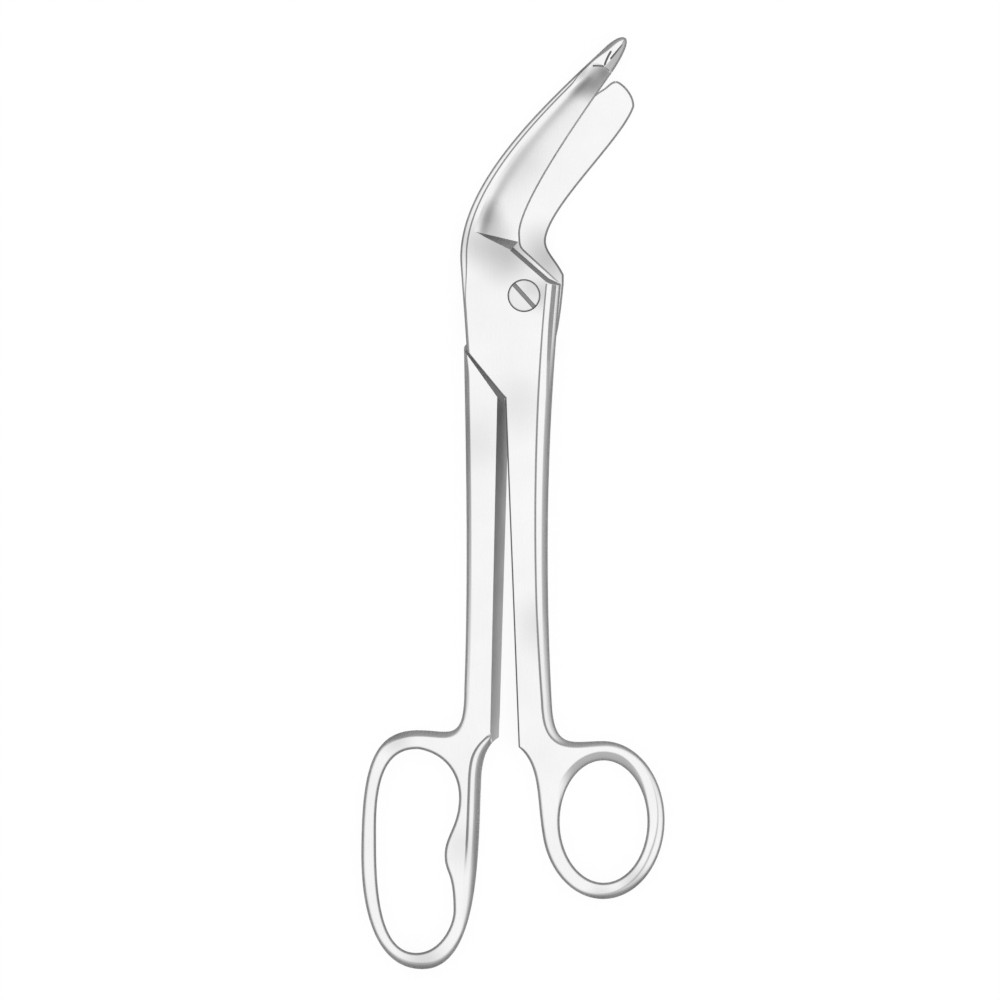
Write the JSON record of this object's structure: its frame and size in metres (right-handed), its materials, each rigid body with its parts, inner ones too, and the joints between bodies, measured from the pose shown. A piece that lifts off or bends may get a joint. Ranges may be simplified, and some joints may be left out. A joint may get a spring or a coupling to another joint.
{
  "type": "bandage scissors",
  "caption": "Angled bandage scissors: a probe-pointed blade over a round-ended one, both hollow ground, crossing at a lap joint on a slotted screw, with a thumb ring and a long finger bow.",
  "frame": {"origin": "on the pivot axis, at the underside of the lap, where the flush end of the screw lies in the outside face of the rear half", "axes": "+Y from the bows towards the blade tips, +Z along the pivot from the rear half to the front half with its slotted screw head, +X to the side the blades bend to"},
  "size_m": [0.0783, 0.2405, 0.008],
  "materials": {
    "front_steel": "satin polished",
    "rear_steel": "satin polished",
    "screw_steel": "satin turned"
  },
  "bodies": {
    "rear": {"rear_half": "rear_steel", "pivot_screw": "screw_steel"},
    "front": {"front_half": "front_steel"}
  },
  "joints": [
    {"name": "scissor_pivot", "type": "hinge", "parent": "rear", "child": "front", "pos_m": [0, 0, 0], "axis": [0, 0, 1], "range_deg": [-3.5, 75]}
  ]
}
